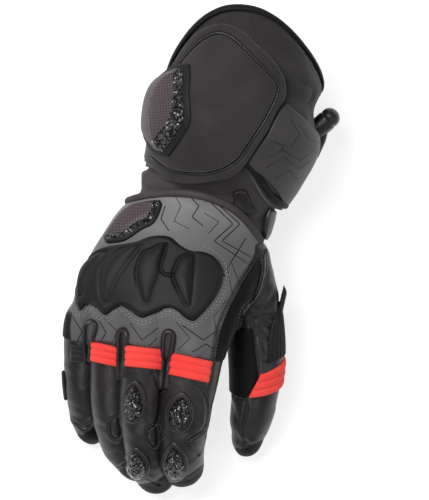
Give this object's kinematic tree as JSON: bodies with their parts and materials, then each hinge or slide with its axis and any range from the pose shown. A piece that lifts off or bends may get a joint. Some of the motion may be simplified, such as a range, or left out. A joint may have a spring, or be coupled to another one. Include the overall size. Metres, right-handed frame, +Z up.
{
  "type": "motorcycle glove",
  "caption": "Long-cuff leather motorcycle glove with a moulded knuckle guard, hard sliders, red stretch bands and a wrap-over closure flap.",
  "frame": {"origin": "on the ground, under the middle of the glove's bounding box", "axes": "+Z up off the back of the hand, +Y from the fingertips to the cuff's mouth, +X towards the thumb side"},
  "size_m": [0.1568, 0.2738, 0.0883],
  "materials": {
    "black_leather": "smooth grain black leather, semi-matt",
    "grey_leather": "grey leather with a fine dark line print",
    "soft_shell": "dense dark grey softshell cloth",
    "moulded_rubber": "matt moulded rubber",
    "red_stretch": "ribbed red stretch panel",
    "carbon_weave": "gloss moulded shell over a twill weave"
  },
  "bodies": {
    "root": {"hand_back": "grey_leather", "hand_palm": "black_leather", "finger_index": "black_leather", "finger_middle": "black_leather", "finger_ring": "black_leather", "finger_little": "black_leather", "thumb": "black_leather", "wrist_sleeve": "black_leather", "cuff_shell": "soft_shell", "rim_binding": "black_leather", "back_binding": "black_leather", "hem_binding": "black_leather", "cuff_panel": "grey_leather", "closure_flap": "soft_shell", "flap_piping": "black_leather", "flap_bezel": "moulded_rubber", "flap_slider": "carbon_weave", "knuckle_guard": "moulded_rubber", "back_bezel": "black_leather", "back_slider": "carbon_weave", "stretch_index": "red_stretch", "stretch_middle": "red_stretch", "stretch_ring": "red_stretch", "stretch_little": "black_leather", "stretch_thumb": "red_stretch", "bridge_index_middle": "black_leather", "bridge_middle_ring": "black_leather", "bridge_ring_little": "black_leather", "bezel_index_near": "black_leather", "slider_index_near": "carbon_weave", "bezel_index_far": "black_leather", "slider_index_far": "carbon_weave", "bezel_middle_near": "black_leather", "slider_middle_near": "carbon_weave", "bezel_middle_far": "black_leather", "slider_middle_far": "carbon_weave", "little_side_pad": "moulded_rubber", "thumb_front_panel": "black_leather", "thumb_side_panel": "moulded_rubber", "wrist_patch": "black_leather", "strap_loop": "black_leather", "pull_tab": "black_leather"}
  },
  "joints": []
}
